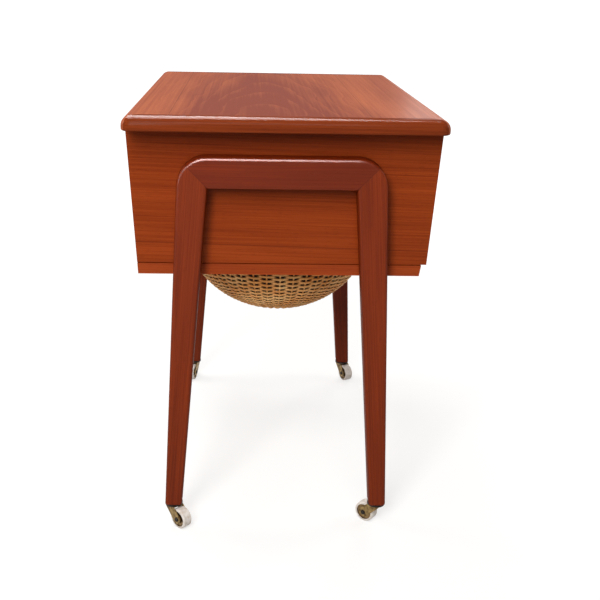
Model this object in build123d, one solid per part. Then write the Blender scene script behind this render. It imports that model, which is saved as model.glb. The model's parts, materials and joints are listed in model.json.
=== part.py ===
from build123d import *
import os
from math import cos, hypot, radians, sin

# Teak sewing table: a drawer case hung between two leg frames on castors, with a sliding cane basket below.
# Millimetres. Origin on the floor under the middle of the top, +X along the table, -Y to its front, +Z up.

# Top board
table_height = 608.0
top_length = 600.0
top_depth = 420.0
top_thickness = 19.0
top_corner_radius = 14.0
top_upper_round = 13.0
top_lower_round = 2.5
top_edge_land = 2.0
corner_margin = 1.0
lipping_width = 22.0

# Case, wider at the top than at the bottom
case_height = 184.0
end_overhang = 45.0
front_overhang = 1.0
case_taper = 10.0
end_panel_thickness = 16.0
back_panel_thickness = 12.0
rail_width = 40.0
rail_setback = 12.0
top_rail_thickness = 16.0
mid_rail_thickness = 14.0
bottom_rail_thickness = 12.0

# Drawers
front_thickness = 16.0
front_top_gap = 2.0
front_side_gap = 1.5
finger_gap = 12.0
finger_lip = 6.0
finger_bevel = 12.0
upper_front_height = 78.0
box_clearance = 3.0
drawer_back_gap = 8.0
drawer_side_thickness = 12.0
drawer_side_gap = 1.0
drawer_back_thickness = 10.0
drawer_back_drop = 4.0
drawer_bottom_thickness = 4.0
drawer_bottom_rise = 4.0
bottom_groove_depth = 5.0
bottom_clearance = 0.2

# Drawer runners, which ride in grooves of the drawer sides
runner_width = 8.0
runner_height = 10.0
runner_front_inset = 25.0
runner_back_inset = 5.0
runner_clearance = 0.3
runner_side_clearance = 0.5

# Fittings of the upper drawer
divider_thickness = 6.0
divider_height = 36.0
cross_divider_spacing = 150.0
thread_bay_depth = 110.0
rack_thickness = 8.0
rack_clearance = 1.0
peg_radius = 3.0
peg_height = 42.0
peg_seat = 6.0
peg_tip_round = 1.5
peg_columns = 7
peg_rows = 2
peg_column_spacing = 58.0
peg_row_spacing = 50.0

# Basket runners under the end panels, and the carrier that slides in them
strip_height = 16.5
strip_width = 30.0
strip_front_setback = 6.8
strip_end_slant = 2.4
strip_joint_gap = 1.5
strip_joint_depth = 3.0
tongue_height = 6.0
tongue_depth = 8.0
tongue_rise = 4.8
tongue_clearance = 0.3
tongue_end_clearance = 0.4
slide_width = 10.6
slide_height = 12.0
carrier_drop = 1.0
carrier_board_thickness = 10.0
carrier_margin = 12.0
carrier_front_thickness = 16.0
carrier_front_height = 14.0

# Cane basket, an oval bowl hung by its rim in the carrier board
basket_end_margin = 55.0
basket_depth = 300.0
basket_drop = 124.0
basket_wall = 5.0
basket_rim_width = 8.0
basket_rim_height = 4.0
basket_clearance = 0.3
quarter_turn = 90

# Leg frames, upturned U shapes on the end panels
frame_drop = 34.0
frame_thickness = 28.0
foot_setback = 46.1
leg_splay = 26.7
frame_back_shift = 3.0
frame_rail_height = 40.5
leg_width_top = 40.8
leg_width_foot = 24.6
frame_corner_radius = 40.0
arris_round = 5.0
foot_round = 3.0
same_place = 0.01
dowel_radius = 4.0
dowel_length = 30.0
dowel_inset = 14.0
dowel_spacing = 14.0
fit_clearance = 0.05
pocket_clearance = 0.5

# Castors
wheel_diameter = 31.0
wheel_width = 14.5
wheel_tread_round = 1.5
wheel_recess_depth = 1.5
wheel_recess_outer = 12.0
wheel_hub_radius = 5.5
castor_trail = 16.0
axle_radius = 2.5
axle_head_radius = 3.6
axle_head_height = 1.2
axle_head_round = 1.0
running_clearance = 0.05
cheek_thickness = 1.5
cheek_gap = 0.6
boss_radius = 7.5
crown_back = 9.0
crown_front = 9.0
crown_thickness = 1.5
crown_gap = 0.6
swivel_gap = 0.4
stem_radius = 4.0
stem_length = 24.0
rivet_radius = 5.5
rivet_height = 3.0
rivet_round = 2.0
web_step = 2.0
socket_wall = 1.5
socket_end = 2.0
flange_radius = 13.0
flange_thickness = 3.0
castor_angles = {"left_front": 50.0, "left_back": 225.0, "right_front": 206.0, "right_back": 165.0}

# Slotted wood screws, a long and a short size
screw_radius = 2.0
screw_length = 30.0
screw_head_radius = 4.0
screw_head_height = 2.5
small_screw_radius = 1.5
small_screw_length = 15.0
small_screw_head_radius = 3.0
small_screw_head_height = 1.8
slot_width = 0.9
slot_depth = 0.8
screw_spacing = 120.0
rail_screw_spacing = 340.0
frame_screw_spacing = 120.0
frame_screw_rise = 9.0
leg_screw_rise = 28.0

# Lengths, heights and half-widths that follow from the sizes above
case_length = top_length - 2 * end_overhang
case_depth_top = top_depth - 2 * front_overhang
case_depth_bottom = case_depth_top - 2 * case_taper
basket_length = case_length - 2 * basket_end_margin
frame_width_foot = top_depth - 2 * foot_setback
frame_width_top = frame_width_foot - 2 * leg_splay
top_under_z = table_height - top_thickness
case_bottom_z = top_under_z - case_height
inner_half = case_length / 2 - end_panel_thickness
outer_half = case_length / 2
wheel_radius = wheel_diameter / 2
crown_z = wheel_diameter + crown_gap
flange_z = crown_z + crown_thickness + swivel_gap
foot_z = flange_z + flange_thickness
frame_top_z = top_under_z - frame_drop
frame_rail_z = frame_top_z - frame_rail_height

upper_front_top = top_under_z - front_top_gap
upper_front_bottom = upper_front_top - upper_front_height
lower_front_top = upper_front_bottom - finger_gap
mid_rail_bottom = upper_front_bottom - mid_rail_thickness
rails_front_y = -case_depth_bottom / 2 + front_thickness + rail_setback

drawer_back_y = case_depth_bottom / 2 - back_panel_thickness - drawer_back_gap
side_outer = inner_half - drawer_side_gap
side_inner = side_outer - drawer_side_thickness
runner_inner = inner_half - runner_width
runner_front_y = -case_depth_bottom / 2 + front_thickness + runner_front_inset
runner_back_y = drawer_back_y + runner_back_inset

strip_bottom_z = case_bottom_z - strip_height
strip_inner = outer_half - strip_width
carrier_z = strip_bottom_z + carrier_drop
slide_outer = strip_inner - tongue_end_clearance
slide_inner = slide_outer - slide_width
carrier_front_y = -basket_depth / 2 - carrier_margin
carrier_back_y = basket_depth / 2 + carrier_margin
tongue_front_y = carrier_front_y - carrier_front_thickness
board_top_z = carrier_z + carrier_board_thickness

frame_middle_x = outer_half + frame_thickness / 2
foot_middle = (frame_width_foot - leg_width_foot) / 2

nodes = {}


def case_half(z):
    """Half depth of the case at a height; its front and back lean in towards the bottom."""
    lean = (case_depth_top - case_depth_bottom) / 2 / case_height
    return case_depth_bottom / 2 + lean * (z - case_bottom_z)


def block(x0, x1, y0, y1, z0, z1):
    """Box between two corners."""
    return Pos((x0 + x1) / 2, (y0 + y1) / 2, (z0 + z1) / 2) * Box(x1 - x0, y1 - y0, z1 - z0)


def prism_x(outline, x0, x1):
    """Outline of (y, z) points, extruded along X."""
    wire = Wire.make_polygon([(x0, y, z) for y, z in outline], close=True)
    return extrude(Face(wire), amount=x1 - x0, dir=(1, 0, 0))


def prism_z(outline, z0, z1):
    """Outline of (x, y) points, extruded along Z."""
    wire = Wire.make_polygon([(x, y, z0) for x, y in outline], close=True)
    return extrude(Face(wire), amount=z1 - z0, dir=(0, 0, 1))


def add_pair(name, right_piece):
    """Keep a right-hand piece and its mirror image at the left end."""
    nodes[f"{name}_right"] = right_piece
    nodes[f"{name}_left"] = mirror(right_piece, about=Plane.YZ)


def peg_along(place, direction, length, radius):
    """Round pin that starts at a place and runs along a direction."""
    seat = Plane(origin=place, z_dir=direction)
    return seat * Cylinder(radius, length, align=(Align.CENTER, Align.CENTER, Align.MIN))


def screw(place, direction, size, growth=0.0):
    """Countersunk screw, head at its place; growth widens it into the hole that takes it."""
    radius, length, head_radius, head_height = size
    low = (Align.CENTER, Align.CENTER, Align.MIN)
    shank = Cylinder(radius + growth, length + growth, align=low)
    head = Cone(head_radius + growth, radius + growth, head_height + growth, align=low)
    body = shank + head
    if growth == 0.0:
        body -= Box(3 * head_radius, slot_width, 2 * slot_depth)
    return Plane(origin=place, z_dir=direction) * body


long_screw = (screw_radius, screw_length, screw_head_radius, screw_head_height)
short_screw = (small_screw_radius, small_screw_length, small_screw_head_radius, small_screw_head_height)


def screws_and_holes(places, direction, size):
    """Screws at a list of places, and the holes for them."""
    pins = [screw(place, direction, size) for place in places]
    holes = [screw(place, direction, size, fit_clearance) for place in places]
    return pins, holes


def mirrored(pieces):
    """The pieces and their mirror images at the other end."""
    return pieces + [mirror(piece, about=Plane.YZ) for piece in pieces]


# Top: a veneered board framed by four mitred lippings
edge_room = top_thickness - top_lower_round - top_edge_land
round_over = min(top_upper_round, edge_room, top_corner_radius - corner_margin)
slab = extrude(RectangleRounded(top_length, top_depth, top_corner_radius), amount=top_thickness)
slab = Pos(0, 0, top_under_z) * slab
slab = fillet(slab.faces().sort_by(Axis.Z)[-1].edges(), round_over)
slab = fillet(slab.faces().sort_by(Axis.Z)[0].edges(), min(top_lower_round, round_over))
panel_x = top_length / 2 - lipping_width
panel_y = top_depth / 2 - lipping_width
top_core = block(-panel_x, panel_x, -panel_y, panel_y, top_under_z, table_height)
lipping_ring = slab - top_core
mitre_reach = lipping_width + corner_margin
far_x = panel_x + mitre_reach
far_y = panel_y + mitre_reach
lipping_outlines = {
    "front": [(-far_x, -far_y), (far_x, -far_y), (panel_x, -panel_y), (-panel_x, -panel_y)],
    "back": [(-far_x, far_y), (far_x, far_y), (panel_x, panel_y), (-panel_x, panel_y)],
    "left": [(-far_x, -far_y), (-panel_x, -panel_y), (-panel_x, panel_y), (-far_x, far_y)],
    "right": [(far_x, -far_y), (panel_x, -panel_y), (panel_x, panel_y), (far_x, far_y)],
}
for side, outline in lipping_outlines.items():
    nodes[f"top_lipping_{side}"] = lipping_ring & prism_z(outline, top_under_z, table_height)

# Screws: top rails to the top, leg frames to the end panels, strips and drawer runners to the end panels
top_rail_z = top_under_z - top_rail_thickness
rail_back_y = case_half(top_rail_z) - back_panel_thickness
rail_rows = (rails_front_y + rail_width / 2, rail_back_y - rail_width / 2)
top_screw_places = [(side * rail_screw_spacing / 2, y, top_rail_z) for side in (-1, 1) for y in rail_rows]
top_screws, top_holes = screws_and_holes(top_screw_places, (0, 0, 1), long_screw)


def leg_outer(z):
    """Half width over the legs at a height."""
    spread = (frame_width_foot - frame_width_top) / 2 / (frame_top_z - foot_z)
    return frame_width_top / 2 + spread * (frame_top_z - z)


def leg_inner(z):
    """Half width between the legs at a height."""
    at_rail = leg_outer(frame_rail_z) - leg_width_top
    at_foot = leg_outer(foot_z) - leg_width_foot
    share = (frame_rail_z - z) / (frame_rail_z - foot_z)
    return at_rail + (at_foot - at_rail) * share


leg_screw_z = case_bottom_z + leg_screw_rise
leg_screw_y = (leg_outer(leg_screw_z) + leg_inner(leg_screw_z)) / 2
frame_screw_places = []
for side in (-1, 1):
    rail_screw_y = frame_back_shift + side * frame_screw_spacing / 2
    frame_screw_places.append((inner_half, rail_screw_y, frame_rail_z + frame_screw_rise))
    frame_screw_places.append((inner_half, frame_back_shift + side * leg_screw_y, leg_screw_z))
frame_screws, frame_holes = screws_and_holes(frame_screw_places, (1, 0, 0), long_screw)

strip_screw_x = outer_half - end_panel_thickness / 2
strip_screw_places = [(strip_screw_x, step * screw_spacing, strip_bottom_z) for step in (-1, 0, 1)]
strip_screws, strip_holes = screws_and_holes(strip_screw_places, (0, 0, 1), long_screw)

upper_box = (upper_front_bottom + box_clearance, top_rail_z - box_clearance)
lower_box = (case_bottom_z + bottom_rail_thickness + box_clearance, mid_rail_bottom - box_clearance)
runner_heights = {"upper": sum(upper_box) / 2, "lower": sum(lower_box) / 2}
runner_screw_places = [
    (runner_inner, step * screw_spacing, z) for z in runner_heights.values() for step in (-1, 0, 1)
]
runner_screws, runner_holes = screws_and_holes(runner_screw_places, (1, 0, 0), short_screw)

nodes["top_panel"] = top_core - top_holes
nodes["wood_screws"] = Compound(top_screws + mirrored(frame_screws + strip_screws))
nodes["runner_screws"] = Compound(mirrored(runner_screws))

# Case: two end panels, the back between them, and the rails
end_outline = [
    (-case_half(case_bottom_z), case_bottom_z),
    (case_half(case_bottom_z), case_bottom_z),
    (case_half(top_under_z), top_under_z),
    (-case_half(top_under_z), top_under_z),
]
end_panel = prism_x(end_outline, inner_half, outer_half)
add_pair("end_panel", end_panel - frame_holes - strip_holes - runner_holes)
back_outline = [
    (case_half(case_bottom_z), case_bottom_z),
    (case_half(top_under_z), top_under_z),
    (case_half(top_under_z) - back_panel_thickness, top_under_z),
    (case_half(case_bottom_z) - back_panel_thickness, case_bottom_z),
]
nodes["back_panel"] = prism_x(back_outline, -inner_half, inner_half)


def rail(y0, z0, thickness):
    """Flat rail between the end panels."""
    return block(-inner_half, inner_half, y0, y0 + rail_width, z0, z0 + thickness)


nodes["top_rail_front"] = rail(rails_front_y, top_rail_z, top_rail_thickness) - top_holes
nodes["top_rail_back"] = rail(rail_back_y - rail_width, top_rail_z, top_rail_thickness) - top_holes
nodes["mid_rail"] = rail(rails_front_y, mid_rail_bottom, mid_rail_thickness)
nodes["bottom_rail"] = rail(rails_front_y, case_bottom_z, bottom_rail_thickness)

# Drawer runners, screwed to the end panels
for name, z in runner_heights.items():
    half = runner_height / 2
    bar = block(runner_inner, inner_half, runner_front_y, runner_back_y, z - half, z + half)
    add_pair(f"{name}_drawer_runner", bar - runner_holes)


def front_back_y(z):
    """Back face of the drawer fronts at a height."""
    return front_thickness - case_half(z)


def drawer(name, front_z, box_z, runner_z):
    """One drawer: leaning front with a bevelled finger edge, grooved sides, back and bottom."""
    low, high = front_z
    box_low, box_high = box_z
    bottom_low = box_low + drawer_bottom_rise
    bottom_high = bottom_low + drawer_bottom_thickness
    groove_top = bottom_high + bottom_clearance
    bottom_half = side_inner + bottom_groove_depth - bottom_clearance
    front_half = inner_half - front_side_gap
    front_outline = [
        (-case_half(low), low),
        (-case_half(high), high),
        (front_back_y(high), high),
        (front_back_y(low + finger_bevel), low + finger_bevel),
        (finger_lip - case_half(low), low),
    ]
    groove_front_y = front_back_y(bottom_low) - bottom_groove_depth
    half = side_inner + bottom_groove_depth
    bottom_slot = block(-half, half, groove_front_y, drawer_back_y, bottom_low, groove_top)
    nodes[f"{name}_drawer_front"] = prism_x(front_outline, -front_half, front_half) - bottom_slot
    side_outline = [
        (front_back_y(box_low), box_low),
        (front_back_y(box_high), box_high),
        (drawer_back_y, box_high),
        (drawer_back_y, box_low),
    ]
    reach = runner_height / 2 + runner_clearance
    runner_slot = block(
        runner_inner - runner_side_clearance, side_outer,
        runner_front_y - runner_clearance, drawer_back_y,
        runner_z - reach, runner_z + reach,
    )
    add_pair(f"{name}_drawer_side", prism_x(side_outline, side_inner, side_outer) - runner_slot - bottom_slot)
    back_front_y = drawer_back_y - drawer_back_thickness
    nodes[f"{name}_drawer_back"] = block(
        -side_inner, side_inner, back_front_y, drawer_back_y, bottom_high, box_high - drawer_back_drop
    )
    nodes[f"{name}_drawer_bottom"] = block(
        -bottom_half, bottom_half, groove_front_y + bottom_clearance, drawer_back_y, bottom_low, bottom_high
    )
    return bottom_high


upper_floor_z = drawer("upper", (upper_front_bottom, upper_front_top), upper_box, runner_heights["upper"])
drawer("lower", (case_bottom_z, lower_front_top), lower_box, runner_heights["lower"])

# Upper drawer fittings: dividers for notions in front, a rack of thread pegs behind
bay_back_y = drawer_back_y - drawer_back_thickness
bay_front_y = bay_back_y - thread_bay_depth
divider_top_z = upper_floor_z + divider_height
divider_y = bay_front_y - divider_thickness
nodes["drawer_long_divider"] = block(
    -side_inner, side_inner, divider_y, bay_front_y, upper_floor_z, divider_top_z
)
cross_outline = [
    (front_back_y(upper_floor_z), upper_floor_z),
    (front_back_y(divider_top_z), divider_top_z),
    (divider_y, divider_top_z),
    (divider_y, upper_floor_z),
]
cross_dividers = []
for side in (-1, 1):
    left_x = side * cross_divider_spacing / 2 - divider_thickness / 2
    cross_dividers.append(prism_x(cross_outline, left_x, left_x + divider_thickness))
nodes["drawer_cross_dividers"] = Compound(cross_dividers)

rack_top_z = upper_floor_z + rack_thickness
rack_half = side_inner - rack_clearance
rack_front_y = bay_front_y + rack_clearance
rack_back_y = bay_back_y - rack_clearance
rack = block(-rack_half, rack_half, rack_front_y, rack_back_y, upper_floor_z, rack_top_z)
pegs = []
peg_holes = []
peg_seat_z = rack_top_z - peg_seat
bay_middle_y = (bay_front_y + bay_back_y) / 2
for column in range(peg_columns):
    for row in range(peg_rows):
        x = (column - (peg_columns - 1) / 2) * peg_column_spacing
        y = bay_middle_y + (row - (peg_rows - 1) / 2) * peg_row_spacing
        peg = peg_along((x, y, peg_seat_z), (0, 0, 1), peg_height, peg_radius)
        pegs.append(fillet(peg.edges().group_by(Axis.Z)[-1], peg_tip_round))
        peg_holes.append(peg_along((x, y, peg_seat_z), (0, 0, 1), peg_height, peg_radius + fit_clearance))
nodes["thread_rack"] = rack - peg_holes
nodes["thread_pegs"] = Compound(pegs)

# Basket runners: strips under the end panels, grooved for the tongues, with a shadow line at the joint
strip_front_y = strip_front_setback - case_half(case_bottom_z)
strip_outline = [
    (strip_front_y + strip_end_slant, strip_bottom_z),
    (strip_front_y, case_bottom_z),
    (case_half(case_bottom_z), case_bottom_z),
    (case_half(strip_bottom_z), strip_bottom_z),
]
tongue_z = carrier_z + tongue_rise
tongue_slot = block(
    strip_inner, strip_inner + tongue_depth,
    strip_front_y, carrier_back_y + tongue_clearance,
    tongue_z - tongue_clearance, tongue_z + tongue_height + tongue_clearance,
)
shadow_line = block(
    outer_half - strip_joint_depth, outer_half,
    strip_front_y, case_half(case_bottom_z),
    case_bottom_z - strip_joint_gap, case_bottom_z,
)
strip = prism_x(strip_outline, strip_inner, outer_half)
add_pair("basket_runner", strip - shadow_line - tongue_slot - strip_holes)

# Carrier of the basket: a board with an oval hole, two tongued slides and a front rail
slide = block(slide_inner, slide_outer, carrier_front_y, carrier_back_y, carrier_z, carrier_z + slide_height)
tongue_outer = slide_outer + tongue_depth
tongue = block(slide_outer, tongue_outer, carrier_front_y, carrier_back_y, tongue_z, tongue_z + tongue_height)
add_pair("basket_slide", slide + tongue)
hole = extrude(
    Ellipse(basket_length / 2 + basket_clearance, basket_depth / 2 + basket_clearance),
    amount=carrier_board_thickness,
)
board = block(-slide_inner, slide_inner, carrier_front_y, carrier_back_y, carrier_z, board_top_z)
nodes["basket_board"] = board - Pos(0, 0, carrier_z) * hole
nodes["basket_front_rail"] = block(
    -slide_outer, slide_outer, tongue_front_y, carrier_front_y, carrier_z, carrier_z + carrier_front_height
)

# Cane basket: the bowl's section turned about Z, then drawn out to an oval
bowl_radius = basket_depth / 2
bowl_inner = bowl_radius - basket_wall
rim_top_z = board_top_z + basket_rim_height
rim_outer = bowl_radius + basket_rim_width
inner_drop = basket_drop - basket_wall
outer_arc = EllipticalCenterArc(
    (0, carrier_z), bowl_radius, basket_drop, start_angle=3 * quarter_turn, arc_size=quarter_turn
)
inner_arc = EllipticalCenterArc(
    (0, carrier_z), bowl_inner, inner_drop, start_angle=3 * quarter_turn, arc_size=quarter_turn
)
rim_line = Polyline(
    (bowl_radius, carrier_z),
    (bowl_radius, board_top_z),
    (rim_outer, board_top_z),
    (rim_outer, rim_top_z),
    (bowl_inner, rim_top_z),
    (bowl_inner, carrier_z),
)
axis_line = Line((0, carrier_z - basket_drop), (0, carrier_z - inner_drop))
bowl_section = make_face(outer_arc.edges() + rim_line.edges() + inner_arc.edges() + axis_line.edges())
bowl = revolve(Plane.XZ * bowl_section, axis=Axis.Z)
nodes["cane_basket"] = scale(bowl, by=(basket_length / basket_depth, 1, 1))

# Leg frames: one outline, cut at the mitres into a rail and two legs
inner_corner = leg_inner(frame_rail_z)
outer_corner = frame_width_top / 2


def frame_point(y, z):
    """Point of the frame's outline, on its inner face."""
    return (outer_half, frame_back_shift + y, z)


frame_wire = Wire.make_polygon(
    [
        frame_point(-leg_outer(foot_z), foot_z),
        frame_point(-outer_corner, frame_top_z),
        frame_point(outer_corner, frame_top_z),
        frame_point(leg_outer(foot_z), foot_z),
        frame_point(leg_inner(foot_z), foot_z),
        frame_point(inner_corner, frame_rail_z),
        frame_point(-inner_corner, frame_rail_z),
        frame_point(-leg_inner(foot_z), foot_z),
    ],
    close=True,
)
top_vertices = frame_wire.vertices().group_by(Axis.Z)[-1]
frame_face = Face(frame_wire.fillet_2d(frame_corner_radius, top_vertices))
frame_solid = extrude(frame_face, amount=frame_thickness, dir=(1, 0, 0))
mitre_y = outer_corner - inner_corner
mitre_z = frame_top_z - frame_rail_z
mitre_length = hypot(mitre_y, mitre_z)
rail_wedge = prism_x(
    [
        (frame_back_shift - inner_corner, frame_rail_z),
        (frame_back_shift + inner_corner, frame_rail_z),
        (frame_back_shift + outer_corner + mitre_y, frame_top_z + mitre_z),
        (frame_back_shift - outer_corner - mitre_y, frame_top_z + mitre_z),
    ],
    outer_half,
    outer_half + frame_thickness,
)


def off_mitre(point):
    """Distance of a point from the nearer mitre plane."""
    y = abs(point.Y - frame_back_shift) - inner_corner
    z = point.Z - frame_rail_z
    return abs(y * mitre_z - z * mitre_y) / mitre_length


def long_arrises(piece):
    """Edges along a frame piece, without those of its mitres and its foot."""
    arrises = []
    for edge in piece.edges():
        start, end = edge.position_at(0), edge.position_at(1)
        across = abs(start.X - end.X) > same_place
        on_mitre = max(off_mitre(start), off_mitre(end)) < same_place
        on_foot = max(start.Z, end.Z) < foot_z + same_place
        if not (across or on_mitre or on_foot):
            arrises.append(edge)
    return arrises


dowels = []
dowel_holes = []
for side in (-1, 1):
    along = (0, side * mitre_y / mitre_length, mitre_z / mitre_length)
    across = (0, side * mitre_z / mitre_length, -mitre_y / mitre_length)
    for step in (dowel_inset, dowel_inset + dowel_spacing):
        y = frame_back_shift + side * inner_corner + along[1] * step
        z = frame_rail_z + along[2] * step
        for radius, length, group in (
            (dowel_radius, dowel_length, dowels),
            (dowel_radius + fit_clearance, dowel_length + 2 * pocket_clearance, dowel_holes),
        ):
            start = (frame_middle_x, y - across[1] * length / 2, z - across[2] * length / 2)
            group.append(peg_along(start, across, length, radius))
nodes["corner_dowels"] = Compound(mirrored(dowels))

frame_rail = frame_solid & rail_wedge
frame_rail = fillet(long_arrises(frame_rail), arris_round)
add_pair("leg_frame_rail", frame_rail - dowel_holes - frame_holes)

socket_radius = stem_radius + running_clearance + socket_wall
socket_length = stem_length + socket_end
pocket_radius = socket_radius + fit_clearance
pocket_depth = socket_length + pocket_clearance
leg_pieces = (frame_solid - rail_wedge).solids().sort_by(Axis.Y)
for name, leg, side in (("front_leg", leg_pieces[0], -1), ("back_leg", leg_pieces[1], 1)):
    leg = leg.fillet(arris_round, long_arrises(leg))
    foot_edges = leg.faces().sort_by(Axis.Z)[0].edges()
    leg = leg.fillet(min(foot_round, arris_round - corner_margin), foot_edges)
    foot_place = (frame_middle_x, frame_back_shift + side * foot_middle, foot_z)
    socket_hole = peg_along(foot_place, (0, 0, 1), pocket_depth, pocket_radius)
    add_pair(name, leg - dowel_holes - frame_holes - socket_hole)


def castor_socket():
    """Flanged sleeve in the leg's foot, which holds the stem."""
    low = (Align.CENTER, Align.CENTER, Align.MIN)
    flange = Pos(0, 0, flange_z) * Cylinder(flange_radius, flange_thickness, align=low)
    sleeve = Pos(0, 0, foot_z) * Cylinder(socket_radius, socket_length, align=low)
    bore_length = flange_thickness + socket_length
    bore = Pos(0, 0, flange_z) * Cylinder(stem_radius + running_clearance, bore_length, align=low)
    return flange + sleeve - bore


cheek_inner = wheel_width / 2 + cheek_gap
cheek_outer = cheek_inner + cheek_thickness


def castor_fork():
    """Stamped fork: a crown, two cheeks that trail to the axle, a web behind them, and the riveted stem."""
    crown_edge = Pos((crown_front - crown_back) / 2, crown_z + crown_thickness / 2) * Rectangle(
        crown_front + crown_back, crown_thickness
    )
    boss = Pos(castor_trail, wheel_radius) * Circle(boss_radius)
    cheek_face = make_hull(crown_edge.edges() + boss.edges())
    cheek = extrude(Plane.XZ * cheek_face, amount=cheek_thickness, dir=(0, 1, 0))
    web_drop = wheel_radius / 2
    web_zone = Pos(0, crown_z - web_drop / 2) * Rectangle(2 * (crown_back + crown_front), web_drop)
    web_face = (cheek_face - Pos(web_step, 0) * cheek_face) & web_zone
    web = Pos(0, -cheek_inner, 0) * extrude(Plane.XZ * web_face, amount=2 * cheek_inner, dir=(0, 1, 0))
    crown = block(-crown_back, crown_front, -cheek_outer, cheek_outer, crown_z, crown_z + crown_thickness)
    crown = fillet(crown.edges().filter_by(Axis.Z), cheek_outer / 2)
    stem = peg_along((0, 0, crown_z), (0, 0, 1), crown_thickness + swivel_gap + stem_length, stem_radius)
    rivet = peg_along((0, 0, crown_z - rivet_height), (0, 0, 1), rivet_height, rivet_radius)
    rivet = fillet(rivet.edges().group_by(Axis.Z)[0], rivet_round)
    axle_hole = peg_along((castor_trail, -cheek_outer, wheel_radius), (0, 1, 0), 2 * cheek_outer, axle_radius)
    cheeks = Pos(0, cheek_inner, 0) * cheek + Pos(0, -cheek_outer, 0) * cheek
    return crown + stem + rivet + cheeks + web - axle_hole


def castor_axle():
    """Riveted pin through the cheeks."""
    pin = peg_along((castor_trail, -cheek_outer, wheel_radius), (0, 1, 0), 2 * cheek_outer, axle_radius)
    for side in (-1, 1):
        seat = (castor_trail, side * cheek_outer, wheel_radius)
        head = peg_along(seat, (0, side, 0), axle_head_height, axle_head_radius)
        rim = head.edges().sort_by(Axis.Y)[0 if side < 0 else -1]
        pin += fillet(rim, min(axle_head_round, axle_head_height - same_place))
    return pin


def castor_wheel():
    """Moulded wheel with rounded tread and a shallow ring sunk in each face."""
    wheel = peg_along((castor_trail, -wheel_width / 2, wheel_radius), (0, 1, 0), wheel_width, wheel_radius)
    wheel = fillet(wheel.edges().filter_by(GeomType.CIRCLE), wheel_tread_round)
    for y in (-wheel_width / 2, wheel_width / 2 - wheel_recess_depth):
        ring = peg_along((castor_trail, y, wheel_radius), (0, 1, 0), wheel_recess_depth, wheel_recess_outer)
        ring -= peg_along((castor_trail, y, wheel_radius), (0, 1, 0), wheel_recess_depth, wheel_hub_radius)
        wheel -= ring
    bore_start = (castor_trail, -wheel_width, wheel_radius)
    return wheel - peg_along(bore_start, (0, 1, 0), 2 * wheel_width, axle_radius + running_clearance)


# Castors, each turned as it was left standing
sockets = []
for corner, angle in castor_angles.items():
    end, row = corner.split("_")
    x = frame_middle_x if end == "right" else -frame_middle_x
    y = frame_back_shift + (foot_middle if row == "back" else -foot_middle)
    place = Pos(x, y, 0) * Rot(0, 0, angle)
    sockets.append(Pos(x, y, 0) * castor_socket())
    nodes[f"castor_fork_{corner}"] = place * castor_fork()
    nodes[f"castor_axle_{corner}"] = place * castor_axle()
    nodes[f"castor_wheel_{corner}"] = place * castor_wheel()
    hub = (x + castor_trail * cos(radians(angle)), y + castor_trail * sin(radians(angle)), wheel_radius)
    print(corner, "swivel at", round(x, 3), round(y, 3), "wheel at", [round(value, 3) for value in hub])
nodes["castor_sockets"] = Compound(sockets)

os.makedirs("parts", exist_ok=True)
for name, shape in nodes.items():
    export_step(shape, f"parts/{name}.step")
print(len(nodes), "pieces written")
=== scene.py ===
# %% [markdown]
# A sewing table, dressed over its construction model.
# The table has a veneered teak case with two drawers, hung between two leg frames on castors, and an oval cane
# basket that slides out below. The joinery could be modelled again here, but the construction model is exact,
# so it is loaded as it is. This lesson adds the camera, the light, the finishes and the woven basket.

import json
from math import atan2, cos, degrees, pi, radians, sin

import bpy
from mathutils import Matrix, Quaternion, Vector


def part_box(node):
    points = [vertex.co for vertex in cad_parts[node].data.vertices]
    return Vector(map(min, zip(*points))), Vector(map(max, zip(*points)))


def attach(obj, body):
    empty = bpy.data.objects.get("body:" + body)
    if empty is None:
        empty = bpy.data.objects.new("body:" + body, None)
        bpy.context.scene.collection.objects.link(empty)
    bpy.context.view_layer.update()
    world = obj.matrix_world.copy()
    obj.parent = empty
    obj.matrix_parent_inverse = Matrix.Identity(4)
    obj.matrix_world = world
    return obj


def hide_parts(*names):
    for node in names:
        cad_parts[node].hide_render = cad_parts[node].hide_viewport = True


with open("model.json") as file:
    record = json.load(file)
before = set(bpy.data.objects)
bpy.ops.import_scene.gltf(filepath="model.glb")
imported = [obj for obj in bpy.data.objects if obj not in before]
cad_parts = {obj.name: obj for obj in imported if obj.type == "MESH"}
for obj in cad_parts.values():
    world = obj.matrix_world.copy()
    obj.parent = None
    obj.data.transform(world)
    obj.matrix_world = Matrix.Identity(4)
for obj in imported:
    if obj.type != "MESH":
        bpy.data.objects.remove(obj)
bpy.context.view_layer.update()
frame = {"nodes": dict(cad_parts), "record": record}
nodes = frame["nodes"]
scene = bpy.context.scene
MM = 0.001

# %% [markdown]
# The camera stands in front of one short end of the table, a little higher than the top, and looks down at it.
# It could be placed by eye. Its place, lens and tilt were worked out instead, from the straight edges of the
# case and the legs, so that the edges of the model fall on the edges in the picture. A picture that was cropped
# off centre has its view centre off the middle, which a camera's shift gives.

# %% Camera
picture_side = 600
focal_pixels = 903.7
view_centre = (272.5, 311.1)
camera_place = Vector((-1.4439, 0.0488, 0.7711))
camera_heading = 0.0307
camera_dip = 0.3514
camera_roll = 0.0194
sensor_mm = 36.0

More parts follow.
